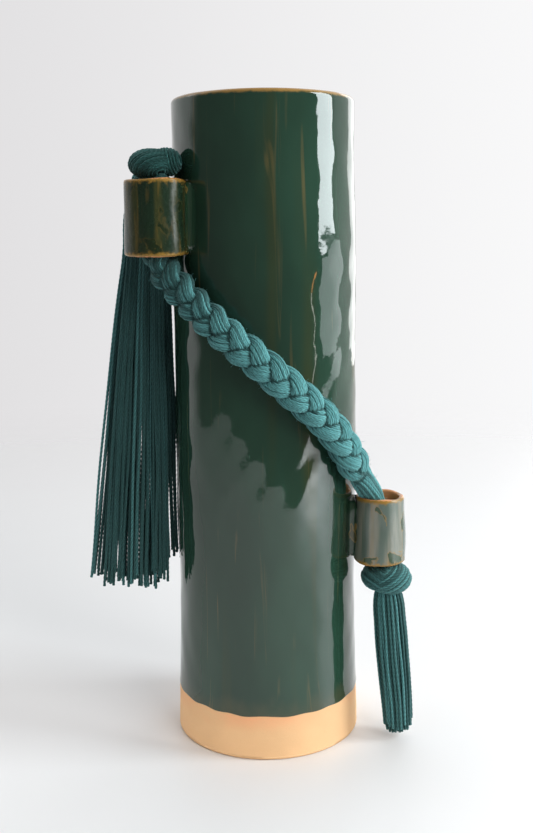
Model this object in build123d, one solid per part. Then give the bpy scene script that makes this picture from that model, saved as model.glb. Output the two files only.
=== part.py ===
from build123d import *
import math
import os

# A tall stoneware vase, a rolled slab closed by a base disc, with two short clay loops on its side.
# A plaited cotton cord runs through the loops: a knot and a long fringe hang at the upper one, and
# a knot and a short tassel at the lower one.
# Millimetres, +Z up, origin at the centre of the foot. The front is -Y, and +X is on the right of
# someone who faces the front.

# Clay body.
HEIGHT = 305.0
GLAZE = 0.5  # thickness of the fired glaze
BORE_RADIUS = 38.0  # inside of the clay wall
BASE_THICKNESS = 7.0
GLAZE_LINE = 22.0  # the clay is bare below this height
FOOT_RADIUS = 45.0  # widest part of the bare foot
FOOT_BEVEL = 1.2
FOOT_TOP_RADIUS = 44.4  # bare clay at the glaze line
RIM_ROUND = 1.9  # radius of the clay's rounded rim
RIM_CENTRE_Z = HEIGHT - GLAZE - RIM_ROUND
RIM_CENTRE_R = BORE_RADIUS + RIM_ROUND
# Clay radius and height up the side, which waves a little, as a hand-rolled wall does.
SIDE = ((43.9, GLAZE_LINE), (42.8, 60.0), (43.2, 155.0), (42.8, 190.0), (43.0, 232.0),
        (41.7, 290.0), (RIM_CENTRE_R + RIM_ROUND, RIM_CENTRE_Z))

# Clay loops: where each stands around the wall, in degrees from +X, and its size.
UPPER_LOOP = {"azimuth": -150.0, "reach": 55.3, "radius": 14.0, "wall": 3.6, "bottom": 234.5, "top": 268.0}
LOWER_LOOP = {"azimuth": -18.0, "reach": 56.9, "radius": 12.0, "wall": 3.0, "bottom": 89.0, "top": 121.0}
LOOP_EDGE = 0.8  # rounding of the loops' cut edges
JOIN_SHORTER = 1.5  # how far the joining clay stops short of each end of a loop
JOIN_SPREAD = 11.4  # half width of the joining clay where it meets the wall
JOIN_FLANK = 0.72  # half width of the joining clay where it meets a loop, over the loop's radius
JOIN_TOE = 2.0  # how far the joining clay is drawn inside the wall before it is trimmed to it

# Cotton cord.
CORD = 12.5  # diameter of the round tube that stands for the plait
ARC_SHARE = 0.45  # of the shorter run beside a corner, taken up by the corner's arc
GAP = 0.3  # clearance between bodies that move against each other

# Upper knot, and the yarns that fold over the loop's back edge.
KNOT_CENTRE = (-49.3, -26.0)
KNOT_FLAT = 8.6  # radius of the underside that sits on the loop
KNOT_RADIUS = 10.4
KNOT_BELLY_Z = 274.0
KNOT_TOP_Z = 281.6
LIFT_AXIS = (-7.7, 270.0)  # Y and Z of the line about which the fringe lifts
NECK_RADIUS = 5.5  # half the thickness of the folded yarns
NECK_LEFT, NECK_RIGHT = -65.2, -44.7
NECK_BOTTOM = 250.0
TAIL_LEFT, TAIL_RIGHT = -59.5, -44.9  # the yarns between the knot and the fold
TAIL_TOP = 275.5

# Lower knot and tassel, which swings about the knot's centre.
LOWER_KNOT = (57.4, -18.5, 86.0)
LOWER_KNOT_RADIUS = 12.3
TASSEL_TIP = (63.3, -21.5, 3.4)
TASSEL_NECK = 8.0
TASSEL_BELLY = 8.3
TASSEL_END = 7.2

# Diameter of a hanging lock of the fringe, and the locks' routes from the fold to their tips.
LOCK = 5.0
LOCK_ROUTES = (
    ((-62.6, -4.9, 250), (-62.6, -4.9, 236), (-66.7, -4.6, 213), (-71.6, -4.2, 175), (-77.0, -3.4, 124),
     (-83.0, -2.9, 78)),
    ((-60.1, -10.2, 250), (-60.1, -10.2, 236), (-63.0, -10.6, 213), (-67.0, -10.2, 175),
     (-71.4, -9.4, 124), (-75.9, -8.9, 76)),
    ((-57.5, -4.9, 250), (-57.5, -4.9, 236), (-60.2, -4.5, 213), (-62.8, -4.1, 175), (-66.7, -3.0, 124),
     (-69.5, -2.4, 74)),
    ((-55.0, -10.2, 250), (-55.0, -10.2, 236), (-56.8, -10.7, 213), (-58.6, -10.4, 175),
     (-61.2, -9.6, 124), (-63.8, -9.3, 75)),
    ((-52.4, -4.9, 250), (-52.4, -4.9, 236), (-53.8, -4.4, 213), (-54.8, -3.9, 175), (-57.0, -3.2, 124),
     (-58.0, -2.9, 73)),
    ((-49.9, -10.2, 250), (-49.9, -10.2, 236), (-50.3, -10.9, 213), (-51.1, -10.7, 175),
     (-51.4, -10.2, 124), (-52.6, -10.0, 79)),
    ((-47.3, -4.9, 250), (-47.3, -4.9, 236), (-47.7, -4.3, 213), (-47.3, -3.9, 175), (-47.6, -3.0, 124),
     (-47.2, -2.3, 88)),
)

# The cord's route: down through the upper loop, round the front of the vase, and down through the
# lower loop.
CORD_ROUTE = (
    (-47.9, -27.6, 268.0), (-48.1, -27.5, 251.0), (-47.9, -27.7, 232.0), (-38.0, -34.4, 220.0),
    (-21.2, -46.4, 204.2), (-3.9, -51.0, 190.4), (14.0, -49.1, 174.5), (30.1, -41.3, 158.9),
    (42.9, -28.4, 141.8), (51.6, -20.3, 130.0), (53.4, -18.0, 115.0), (53.6, -17.6, 101.0),
    (53.9, -17.8, 89.0),
)


def revolved(*edges):
    """Solid of revolution about Z of the outline that the edges enclose in the XZ plane."""
    return revolve(make_face(Curve() + list(edges)), axis=Axis.Z)


def at(radius, height):
    """Point of an outline in the XZ plane."""
    return Vector(radius, 0, height)


def outline(*points):
    """Straight edges through points given as radius and height."""
    return Polyline([at(*point) for point in points]).edges()


def side_curve(offset):
    """The vase's waving side, offset outwards."""
    return Spline([at(radius + offset, height) for radius, height in SIDE])


def rim_arc(offset, start, end):
    """Arc of the rounded rim between two angles from +X, offset outwards from the clay."""
    radius = RIM_ROUND + offset
    angles = [math.radians(angle) for angle in (start, (start + end) / 2, end)]
    points = [at(RIM_CENTRE_R + radius * math.cos(a), RIM_CENTRE_Z + radius * math.sin(a)) for a in angles]
    return ThreePointArc(*points)


def make_wall():
    """The clay tube, from the foot to its rounded rim."""
    foot = outline((BORE_RADIUS, RIM_CENTRE_Z), (BORE_RADIUS, 0), (FOOT_RADIUS - FOOT_BEVEL, 0),
                   (FOOT_RADIUS, FOOT_BEVEL), (FOOT_TOP_RADIUS, GLAZE_LINE), SIDE[0])
    return revolved(*foot, side_curve(0), rim_arc(0, 0, 90), rim_arc(0, 90, 180))


def make_envelope():
    """The tube with its bore filled, which trims what is joined to the wall."""
    closing = outline(SIDE[-1], (0, RIM_CENTRE_Z), (0, GLAZE_LINE), SIDE[0])
    return revolved(side_curve(0), *closing)


def make_outer_glaze():
    """The glaze on the outside, from the glaze line to the crest of the rim."""
    foot = outline(SIDE[0], (SIDE[0][0] + GLAZE, GLAZE_LINE))
    crest = outline((RIM_CENTRE_R, HEIGHT - GLAZE), (RIM_CENTRE_R, HEIGHT))
    return revolved(*foot, side_curve(GLAZE), rim_arc(GLAZE, 0, 90), *crest, rim_arc(0, 90, 0), side_curve(0))


def make_liner_glaze():
    """The glaze inside, from the crest of the rim down the bore and over the base."""
    crest = outline((RIM_CENTRE_R, HEIGHT - GLAZE), (RIM_CENTRE_R, HEIGHT))
    inside = outline((BORE_RADIUS - GLAZE, RIM_CENTRE_Z), (BORE_RADIUS - GLAZE, BASE_THICKNESS + GLAZE),
                     (0, BASE_THICKNESS + GLAZE), (0, BASE_THICKNESS), (BORE_RADIUS, BASE_THICKNESS),
                     (BORE_RADIUS, RIM_CENTRE_Z))
    return revolved(*crest, rim_arc(GLAZE, 90, 180), *inside, rim_arc(0, 180, 90))


def loop_frame(loop):
    """Place a loop's own frame: +X away from the vase, origin on the vase's axis."""
    return Rot(0, 0, loop["azimuth"])


def loop_blank(loop):
    """The loop's outer cylinder, before its bore is cut and it is pressed on the wall."""
    height = loop["top"] - loop["bottom"]
    blank = Cylinder(loop["radius"], height, align=(Align.CENTER, Align.CENTER, Align.MIN))
    blank = fillet(blank.edges().filter_by(GeomType.CIRCLE), LOOP_EDGE)
    return loop_frame(loop) * Pos(loop["reach"], 0, loop["bottom"]) * blank


def make_loop(loop, envelope):
    """A short clay tube pressed on the wall."""
    height = loop["top"] - loop["bottom"]
    bore = Cylinder(loop["radius"] - loop["wall"], height * 2)
    middle = (loop["bottom"] + loop["top"]) / 2
    return loop_blank(loop) - loop_frame(loop) * Pos(loop["reach"], 0, middle) * bore - envelope


def make_join(loop, envelope):
    """The clay worked into the corners between a loop and the wall."""
    wall_side = FOOT_RADIUS - 2 * JOIN_TOE
    loop_side = wall_side + JOIN_TOE + loop["radius"] / 4
    half = loop["radius"] * JOIN_FLANK
    outer = Polygon((wall_side - JOIN_TOE, -JOIN_SPREAD), (wall_side, -JOIN_SPREAD), (loop_side, -half),
                    (loop_side, half), (wall_side, JOIN_SPREAD), (wall_side - JOIN_TOE, JOIN_SPREAD),
                    align=None)
    height = loop["top"] - loop["bottom"] - 2 * JOIN_SHORTER
    pad = loop_frame(loop) * Pos(0, 0, loop["bottom"] + JOIN_SHORTER) * extrude(outer, amount=height)
    return pad - loop_blank(loop) - envelope


def cord_tube(route, diameter, name):
    """A round tube along straight runs joined by arcs, each as large as its two runs allow."""
    points = [Vector(*point) for point in route]
    radii = []
    for before, corner, after in zip(points, points[1:], points[2:]):
        arriving = corner - before
        leaving = after - corner
        half_turn = math.radians(arriving.get_angle(leaving)) / 2
        radii.append(ARC_SHARE * min(arriving.length, leaving.length) / math.tan(half_turn))
    path = FilletPolyline(*points, radius=radii)
    section = Plane(origin=points[0], z_dir=points[1] - points[0]) * Circle(diameter / 2)
    tube = sweep(section, path=path)
    expected = math.pi * diameter**2 / 4 * path.length
    print(f"{name}: length {path.length:.1f}, arc radii", " ".join(f"{radius:.0f}" for radius in radii),
          f"volume {tube.volume:.0f} against {expected:.0f}")
    return tube


def make_top_knot():
    """The knot on the upper loop, with the short tail that leads to the fold of the fringe."""
    underside = UPPER_LOOP["top"] + GAP
    belly = ThreePointArc(at(KNOT_FLAT, underside), at(KNOT_RADIUS, KNOT_BELLY_Z), at(0, KNOT_TOP_Z))
    closing = outline((0, KNOT_TOP_Z), (0, underside), (KNOT_FLAT, underside))
    bulb = Pos(*KNOT_CENTRE, 0) * revolved(belly, *closing)
    fold_y, fold_z = LIFT_AXIS
    tail = Pos((TAIL_LEFT + TAIL_RIGHT) / 2, (KNOT_CENTRE[1] + fold_y) / 2, (underside + TAIL_TOP) / 2) * Box(
        TAIL_RIGHT - TAIL_LEFT, fold_y - KNOT_CENTRE[1], TAIL_TOP - underside)
    socket = Pos(NECK_LEFT, fold_y, fold_z) * Rot(0, 90, 0) * Cylinder(
        NECK_RADIUS + GAP, 3 * (NECK_RIGHT - NECK_LEFT))
    return bulb + tail - socket


def make_fringe_neck():
    """The gathered yarns that fold over the loop's back edge, rounded about the lifting line."""
    fold_y, fold_z = LIFT_AXIS
    width = NECK_RIGHT - NECK_LEFT
    middle = (NECK_LEFT + NECK_RIGHT) / 2
    fold = Pos(middle, fold_y, fold_z) * Rot(0, 90, 0) * Cylinder(NECK_RADIUS, width)
    fall = Pos(middle, fold_y, (NECK_BOTTOM + fold_z) / 2) * Box(width, 2 * NECK_RADIUS, fold_z - NECK_BOTTOM)
    return fold + fall


def make_bottom_knot():
    """The round knot under the lower loop, flat where the loop stops it."""
    ball = Pos(*LOWER_KNOT) * Sphere(LOWER_KNOT_RADIUS)
    top = LOWER_LOOP["bottom"] - GAP
    above = Pos(LOWER_KNOT[0], LOWER_KNOT[1], top) * Box(
        4 * LOWER_KNOT_RADIUS, 4 * LOWER_KNOT_RADIUS, 4 * LOWER_KNOT_RADIUS,
        align=(Align.CENTER, Align.CENTER, Align.MIN))
    return ball - above


def make_tassel():
    """The short tassel, hollowed at its neck to turn round the knot."""
    drop = Vector(*TASSEL_TIP) - Vector(*LOWER_KNOT)
    length = drop.length
    start = LOWER_KNOT_RADIUS / 2
    side = Spline([at(TASSEL_NECK, LOWER_KNOT_RADIUS), at(TASSEL_BELLY, length / 3), at(TASSEL_END, length)])
    closing = outline((TASSEL_END, length), (0, length), (0, start), (TASSEL_NECK, start),
                      (TASSEL_NECK, LOWER_KNOT_RADIUS))
    yarns = Plane(origin=LOWER_KNOT, z_dir=drop) * revolved(side, *closing)
    return yarns - Pos(*LOWER_KNOT) * Sphere(LOWER_KNOT_RADIUS + GAP)


def make_parts():
    """Every node of the vase, by name."""
    envelope = make_envelope()
    blanks = loop_blank(UPPER_LOOP) + loop_blank(LOWER_LOOP)
    upper_join = make_join(UPPER_LOOP, envelope)
    lower_join = make_join(LOWER_LOOP, envelope)
    base = Cylinder(BORE_RADIUS, BASE_THICKNESS, align=(Align.CENTER, Align.CENTER, Align.MIN))
    parts = {
        "vase_wall": make_wall(),
        "base_slab": base,
        "outer_glaze": make_outer_glaze() - blanks - upper_join - lower_join,
        "liner_glaze": make_liner_glaze(),
        "upper_loop": make_loop(UPPER_LOOP, envelope),
        "upper_loop_join": upper_join,
        "lower_loop": make_loop(LOWER_LOOP, envelope),
        "lower_loop_join": lower_join,
        "plait": cord_tube(CORD_ROUTE, CORD, "plait"),
        "top_knot": make_top_knot(),
        "fringe_neck": make_fringe_neck(),
        "bottom_knot": make_bottom_knot(),
        "short_tassel": make_tassel(),
    }
    for number, route in enumerate(LOCK_ROUTES, start=1):
        name = f"fringe_lock_{number}"
        parts[name] = cord_tube(route, LOCK, name)
    return parts


os.makedirs("parts", exist_ok=True)
for node, shape in make_parts().items():
    export_step(shape, f"parts/{node}.step")
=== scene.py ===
import logging
import math
from dataclasses import dataclass
from enum import Enum

import bpy
import numpy as np
from mathutils import Matrix, Vector


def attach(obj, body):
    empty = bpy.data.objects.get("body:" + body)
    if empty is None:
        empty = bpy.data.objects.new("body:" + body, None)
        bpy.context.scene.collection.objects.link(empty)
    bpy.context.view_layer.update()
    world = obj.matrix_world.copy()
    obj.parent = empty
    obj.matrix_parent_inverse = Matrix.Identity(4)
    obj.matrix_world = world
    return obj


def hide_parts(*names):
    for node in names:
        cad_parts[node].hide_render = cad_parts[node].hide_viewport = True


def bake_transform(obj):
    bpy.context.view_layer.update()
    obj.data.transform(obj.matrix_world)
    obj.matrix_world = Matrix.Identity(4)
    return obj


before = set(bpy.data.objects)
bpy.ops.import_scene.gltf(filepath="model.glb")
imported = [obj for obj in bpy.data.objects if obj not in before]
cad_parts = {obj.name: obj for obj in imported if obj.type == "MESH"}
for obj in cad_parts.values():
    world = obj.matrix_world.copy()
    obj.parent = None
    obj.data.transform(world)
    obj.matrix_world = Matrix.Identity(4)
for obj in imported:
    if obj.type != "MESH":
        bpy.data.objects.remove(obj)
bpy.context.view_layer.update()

# A tall stoneware vase in a deep green glaze, with two clay loops on its side. A plaited cotton cord
# runs through the loops, with a knot and a long fringe at the upper one and a knot and a short
# tassel at the lower one. Metres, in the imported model's frame: +Z up, the front towards -Y, the
# origin at the centre of the foot.

MM = 0.001
TURN = 2 * math.pi
GOLDEN_SHARE = 0.381966  # of a turn, between one packed yarn and the next
Colour = tuple[float, float, float]
Point = tuple[float, float, float]
LOG = logging.getLogger("vase")


class Body(Enum):
    """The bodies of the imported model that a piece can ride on."""

    VASE = "vase"
    UPPER_KNOT = "upper_knot"
    FRINGE = "fringe"
    LOWER_KNOT = "lower_knot"
    TASSEL = "tassel"


class Slot(Enum):
    """The record's material slots."""

    CLAY = "bare_clay"
    GREEN = "green_glaze"
    LINER = "liner_glaze"
    LOOP = "loop_glaze"
    YARN = "cotton_yarn"


# --------------------------------------------------------------------------- shapes


def unit(vectors: np.ndarray) -> np.ndarray:
    """The vectors of the last axis, each at length one."""
    return vectors / np.linalg.norm(vectors, axis=-1, keepdims=True)


def ease(value: np.ndarray | float, start: float, end: float) -> np.ndarray:
    """A smooth step from 0 at start to 1 at end."""
    t = np.clip((np.asarray(value, float) - start) / (end - start), 0, 1)
    return t * t * (3 - 2 * t)


def distances(path: np.ndarray) -> np.ndarray:
    """Length along a path from its first point to each of its points."""
    return np.concatenate([[0.0], np.cumsum(np.linalg.norm(np.diff(path, axis=0), axis=1))])


def evenly(path: np.ndarray, count: int, share: float = 1.0) -> np.ndarray:
    """Evenly spaced points of a path.

    Args:
        path: Points of shape (n, 3).
        count: How many points to return.
        share: How much of the path's length they cover, from its start.

    Returns:
        Points of shape (count, 3).
    """
    along = distances(path)
    wanted = np.linspace(0, along[-1] * share, count)
    return np.stack([np.interp(wanted, along, path[:, axis]) for axis in range(3)], axis=1)


def smooth_curve(knots: tuple[tuple[float, float], ...], where: np.ndarray) -> np.ndarray:
    """A smooth curve through knots given as (value, position), read at other positions.

    Args:
        knots: Pairs of value and position, with rising positions.
        where: Positions to read.

    Returns:
        The values there.
    """
    values = np.array([knot[0] for knot in knots])
    places = np.array([knot[1] for knot in knots])
    slopes = np.gradient(values, places)
    cell = np.clip(np.searchsorted(places, where) - 1, 0, len(places) - 2)
    width = places[cell + 1] - places[cell]
    t = np.clip((where - places[cell]) / width, 0, 1)
    rise = (values[cell + 1] - values[cell]) * (3 * t**2 - 2 * t**3)
    bend = width * (slopes[cell] * (t**3 - 2 * t**2 + t) + slopes[cell + 1] * (t**3 - t**2))
    return values[cell] + rise + bend


@dataclass(frozen=True)
class Ripple:
    """Gentle unevenness of a hand-made round surface, the same at every run.

    Args:
        seed: Start of the random draws.
        height: Typical height of the unevenness.
        around: Lowest and highest number of waves round the surface.
        along: Shortest and longest wave up the surface.
        waves: How many waves are added up.
    """

    seed: int
    height: float
    around: tuple[int, int]
    along: tuple[float, float]
    waves: int = 24

    def at(self, angle: np.ndarray, height: np.ndarray) -> np.ndarray:
        """Offset of the surface at an angle round it and a height up it.

        Args:
            angle: Angles round the surface.
            height: Heights up it, of a shape that fits the angles.

        Returns:
            The offset at each place.
        """
        draw = np.random.default_rng(self.seed)
        total = np.zeros(np.broadcast(angle, height).shape)
        for _ in range(self.waves):
            around = draw.integers(self.around[0], self.around[1] + 1)
            along = TURN / draw.uniform(*self.along) * draw.choice([-1, 1])
            total += np.cos(around * angle + along * height + draw.uniform(0, TURN))
        return self.height * total / math.sqrt(self.waves / 2)


class PieceMesh:
    """Gathers grids of points into the mesh of one piece."""

    def __init__(self) -> None:
        """Starts with no points."""
        self.points: list[np.ndarray] = []
        self.quads: list[np.ndarray] = []
        self.triangles: list[np.ndarray] = []
        self.values: dict[str, list[np.ndarray]] = {}
        self.count = 0

    def add_points(self, points: np.ndarray, values: dict[str, np.ndarray]) -> int:
        """Adds points with their attribute values.

        Args:
            points: Points of shape (n, 3).
            values: Their attribute values by name.

        Returns:
            The number of the first point.
        """
        first = self.count
        self.points.append(points)
        for name, value in values.items():
            self.values.setdefault(name, []).append(value)
        self.count += len(points)
        return first

    def add_cap(self, ring: np.ndarray, middle: np.ndarray, values: dict[str, float], last: bool) -> None:
        """Closes a ring of point numbers with a fan round a middle point.

        Args:
            ring: Numbers of the points of the ring.
            middle: The middle point.
            values: Its attribute values by name.
            last: It closes the last row of a grid and not the first.
        """
        centre = self.add_points(middle[None, :], {name: np.array([v]) for name, v in values.items()})
        following = np.roll(ring, -1)
        sides = (ring, following) if last else (following, ring)
        self.triangles.append(np.stack([np.full(len(ring), centre), *sides], axis=1))

    def add_grid(self, grid: np.ndarray, closed: bool = False, capped: bool = False,
                 **values: np.ndarray | float) -> None:
        """Adds a surface whose columns go round and meet.

        Args:
            grid: Points of shape (rows, columns, 3).
            closed: The last row joins the first, as on a ring.
            capped: The first and last rows are closed with fans.
            values: Attribute values, each a number or an array that fits (rows, columns).
        """
        rows, columns = grid.shape[:2]
        spread = {name: np.broadcast_to(value, (rows, columns)) for name, value in values.items()}
        first = self.add_points(grid.reshape(-1, 3), {n: v.reshape(-1) for n, v in spread.items()})
        index = np.arange(rows * columns).reshape(rows, columns) + first
        lower = index if closed else index[:-1]
        upper = np.roll(index, -1, axis=0) if closed else index[1:]
        corners = [lower, np.roll(lower, -1, axis=1), np.roll(upper, -1, axis=1), upper]
        self.quads.append(np.stack(corners, axis=-1).reshape(-1, 4))
        if capped:
            for row, last in ((0, False), (-1, True)):
                middle = {name: float(value[row].mean()) for name, value in spread.items()}
                self.add_cap(index[row], grid[row].mean(axis=0), middle, last)

    def build(self, name: str) -> bpy.types.Object:
        """Makes the object, smoothly shaded, and links it to the scene.

        Args:
            name: The object's name.

        Returns:
            The object.
        """
        mesh = bpy.data.meshes.new(name)
        points = np.concatenate(self.points)
        quads = np.concatenate(self.quads)
        triangles = np.concatenate(self.triangles) if self.triangles else np.zeros((0, 3), int)
        corners = np.concatenate([quads.ravel(), triangles.ravel()])
        starts = np.concatenate([np.arange(len(quads)) * 4,
                                 quads.size + np.arange(len(triangles)) * 3])
        mesh.vertices.add(len(points))
        mesh.vertices.foreach_set("co", points.astype(np.float32).ravel())
        mesh.loops.add(len(corners))
        mesh.loops.foreach_set("vertex_index", corners.astype(np.int32))
        mesh.polygons.add(len(starts))
        mesh.polygons.foreach_set("loop_start", starts.astype(np.int32))
        mesh.polygons.foreach_set("use_smooth", np.ones(len(starts), bool))
        for label, parts in self.values.items():
            attribute = mesh.attributes.new(label, "FLOAT", "POINT")
            attribute.data.foreach_set("value", np.concatenate(parts).astype(np.float32))
        mesh.update(calc_edges=True)
        mesh.validate()
        piece = bpy.data.objects.new(name, mesh)
        bpy.context.scene.collection.objects.link(piece)
        return piece


def turned(radius: np.ndarray, height: np.ndarray, angle: np.ndarray) -> np.ndarray:
    """Points round the Z axis for radii and heights of shape (rows, columns)."""
    radius, height, angle = np.broadcast_arrays(radius, height, angle)
    return np.stack([radius * np.cos(angle), radius * np.sin(angle), height], axis=-1)


def spread(low: float, high: float, count: int) -> np.ndarray:
    """A column of evenly spaced values, one for each row of a grid."""
    return np.linspace(low, high, count)[:, None]


def place(piece: bpy.types.Object, material: bpy.types.Material, slot: Slot, *nodes: str) -> bpy.types.Object:
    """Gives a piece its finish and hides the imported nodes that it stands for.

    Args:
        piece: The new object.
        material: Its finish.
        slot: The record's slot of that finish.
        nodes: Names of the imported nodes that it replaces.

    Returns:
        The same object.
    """
    piece.data.materials.append(material)
    if nodes:
        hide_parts(*nodes)
    LOG.info("%s: %d faces, %s", piece.name, len(piece.data.polygons), slot.value)
    return piece


# --------------------------------------------------------------------------- finishes


class Finish:
    """A material under construction, with short calls to add its nodes and join them."""

    def __init__(self, name: str) -> None:
        """Makes a material with its Principled shader.

        Args:
            name: The material's name.
        """
        self.material = bpy.data.materials.new(name)
        self.material.use_nodes = True
        self.tree = self.material.node_tree
        self.shader = self.tree.nodes["Principled BSDF"]
        self.place = self.add("ShaderNodeTexCoord").outputs["Object"]

    def add(self, kind: str, **settings: object) -> bpy.types.Node:
        """Adds a node with its settings.

        Args:
            kind: The node's type.
            settings: Its properties and their values.

        Returns:
            The node.
        """
        node = self.tree.nodes.new(kind)
        for name, value in settings.items():
            setattr(node, name, value)
        return node

    def feed(self, socket: bpy.types.NodeSocket, value: object) -> None:
        """Links a socket to another, or sets its value.

        Args:
            socket: The input.
            value: An output, a colour or a number.
        """
        if isinstance(value, bpy.types.NodeSocket):
            self.tree.links.new(value, socket)
        elif isinstance(value, tuple) and len(value) == 3 and socket.type == "RGBA":
            socket.default_value = (*value, 1.0)
        else:
            socket.default_value = value

    def set(self, **inputs: object) -> None:
        """Sets or links inputs of the shader; an underscore stands for a space."""
        for name, value in inputs.items():
            self.feed(self.shader.inputs[name.replace("_", " ")], value)

    def stretched(self, scale: Point) -> bpy.types.NodeSocket:
        """The object's coordinates, scaled along each axis.

        Args:
            scale: Scale along X, Y and Z.

        Returns:
            The scaled coordinates.
        """
        node = self.add("ShaderNodeMapping")
        self.feed(node.inputs["Vector"], self.place)
        node.inputs["Scale"].default_value = scale
        return node.outputs["Vector"]

    def noise(self, scale: float, detail: float = 3.0, stretch: Point = (1, 1, 1),
              distortion: float = 0.0) -> bpy.types.NodeSocket:
        """Cloudy noise with so many cells to the metre, stretched along the axes.

        Args:
            scale: Cells to the metre.
            detail: Finer layers of noise.
            stretch: Scale of the coordinates along X, Y and Z.
            distortion: How much the noise is bent.

        Returns:
            The noise, about 0.5 on average.
        """
        node = self.add("ShaderNodeTexNoise")
        self.feed(node.inputs["Vector"], self.stretched(stretch))
        self.feed(node.inputs["Scale"], scale)
        self.feed(node.inputs["Detail"], detail)
        self.feed(node.inputs["Distortion"], distortion)
        return node.outputs["Fac"]

    def spots(self, scale: float, low: float, high: float) -> bpy.types.NodeSocket:
        """Round specks, 1 at their middles, from cells of that scale.

        Args:
            scale: Cells to the metre.
            low: Distance at which a speck is full.
            high: Distance at which it ends.

        Returns:
            The specks.
        """
        node = self.add("ShaderNodeTexVoronoi")
        self.feed(node.inputs["Vector"], self.place)
        self.feed(node.inputs["Scale"], scale)
        return self.fade(node.outputs["Distance"], high, low)

    def value(self, name: str) -> bpy.types.NodeSocket:
        """An attribute of the mesh."""
        return self.add("ShaderNodeAttribute", attribute_name=name).outputs["Fac"]

    def axis(self, name: str) -> bpy.types.NodeSocket:
        """The X, Y or Z of the object's coordinates.

        Args:
            name: Which of them.

        Returns:
            The coordinate.
        """
        node = self.add("ShaderNodeSeparateXYZ")
        self.feed(node.inputs[0], self.place)
        return node.outputs[name]

    def fade(self, value: bpy.types.NodeSocket, start: float, end: float) -> bpy.types.NodeSocket:
        """A smooth step from 0 at start to 1 at end.

        Args:
            value: What is stepped.
            start: Where the step starts.
            end: Where it ends; it may lie below start.

        Returns:
            The step.
        """
        node = self.add("ShaderNodeMapRange", interpolation_type="SMOOTHSTEP")
        for name, number in (("Value", value), ("From Min", start), ("From Max", end)):
            self.feed(node.inputs[name], number)
        return node.outputs["Result"]

    def sum(self, operation: str, *values: object) -> bpy.types.NodeSocket:
        """One step of arithmetic.

        Args:
            operation: Which operation.
            values: Its operands.

        Returns:
            The result.
        """
        node = self.add("ShaderNodeMath", operation=operation)
        for socket, value in zip(node.inputs, values):
            self.feed(socket, value)
        return node.outputs[0]

    def mix(self, share: object, first: object, second: object) -> bpy.types.NodeSocket:
        """A colour between two, second where share is 1.

        Args:
            share: How much of the second colour there is.
            first: The first colour.
            second: The second colour.

        Returns:
            The colour.
        """
        node = self.add("ShaderNodeMix", data_type="RGBA")
        for index, value in ((0, share), (6, first), (7, second)):
            self.feed(node.inputs[index], value)
        return node.outputs[2]

    def bump(self, height: bpy.types.NodeSocket, depth: float,
             under: bpy.types.NodeSocket | None = None) -> bpy.types.NodeSocket:
        """Relief of that depth in metres, on top of other relief where it is given.

        Args:
            height: What is raised.
            depth: How far, in metres.
            under: Relief under it.

        Returns:
            The normal.
        """
        node = self.add("ShaderNodeBump")
        self.feed(node.inputs["Height"], height)
        self.feed(node.inputs["Distance"], depth)
        if under is not None:
            self.feed(node.inputs["Normal"], under)
        return node.outputs["Normal"]


@dataclass(frozen=True)
class GreenGlaze:
    """Deep green glossy glaze that runs a little and breaks to amber where it thins.

    Args:
        name: The material's name.
        deep: Colour where the glaze is thick.
        thin: Colour of the faint runs.
        amber: Colour where it thins over an edge.
        sand: Colour of the haze low down, where it is thinner.
        rim: Height at which the amber starts.
        foot: Height of the glaze's lower edge.
    """

    name: str = "bottle_green_glaze"
    deep: Colour = (0.012, 0.034, 0.021)
    thin: Colour = (0.028, 0.040, 0.016)
    amber: Colour = (0.30, 0.17, 0.045)
    sand: Colour = (0.060, 0.062, 0.032)
    rim: float = 303.6 * MM
    foot: float = 18 * MM

    def material(self) -> bpy.types.Material:
        """Builds the material.

        Returns:
            The material.
        """
        finish = Finish(self.name)
        runs = finish.noise(60, 2, (1, 1, 0.035), 0.4)
        clouds = finish.noise(25, 3, (1, 1, 0.5))
        shade = finish.mix(finish.fade(clouds, 0.3, 0.75), self.deep, tuple(1.5 * c for c in self.deep))
        shade = finish.mix(finish.fade(runs, 0.58, 0.70), shade, self.thin)
        threads = finish.fade(finish.noise(170, 3, (1, 1, 0.04), 1.6), 0.62, 0.74)
        shade = finish.mix(finish.sum("MULTIPLY", threads, 0.22), shade, self.amber)
        ragged = finish.sum("MULTIPLY_ADD", finish.noise(350, 3), 1.6 * MM, finish.axis("Z"))
        haze = finish.sum("MULTIPLY_ADD", finish.noise(90, 3, (1, 1, 0.5)), 20 * MM, finish.axis("Z"))
        sandy = finish.sum("MULTIPLY", finish.fade(haze, self.foot + 24 * MM, self.foot + 12 * MM), 0.55)
        shade = finish.mix(sandy, shade, self.sand)
        pooled = finish.fade(ragged, self.foot + 5 * MM, self.foot + 2.5 * MM)
        shade = finish.mix(pooled, shade, self.deep)
        edge = finish.fade(ragged, self.rim, self.rim + 1.4 * MM)
        finish.set(Base_Color=finish.mix(edge, shade, self.amber), IOR=1.6)
        gloss = finish.fade(finish.noise(90, 4), 0.3, 0.8)
        finish.set(Roughness=finish.sum("MULTIPLY_ADD", gloss, 0.04, 0.03))
        swell = finish.bump(finish.noise(80, 3, (1, 1, 0.6)), 0.16 * MM)
        finish.set(Normal=finish.bump(finish.noise(420, 2), 0.012 * MM, swell))
        return finish.material


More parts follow.
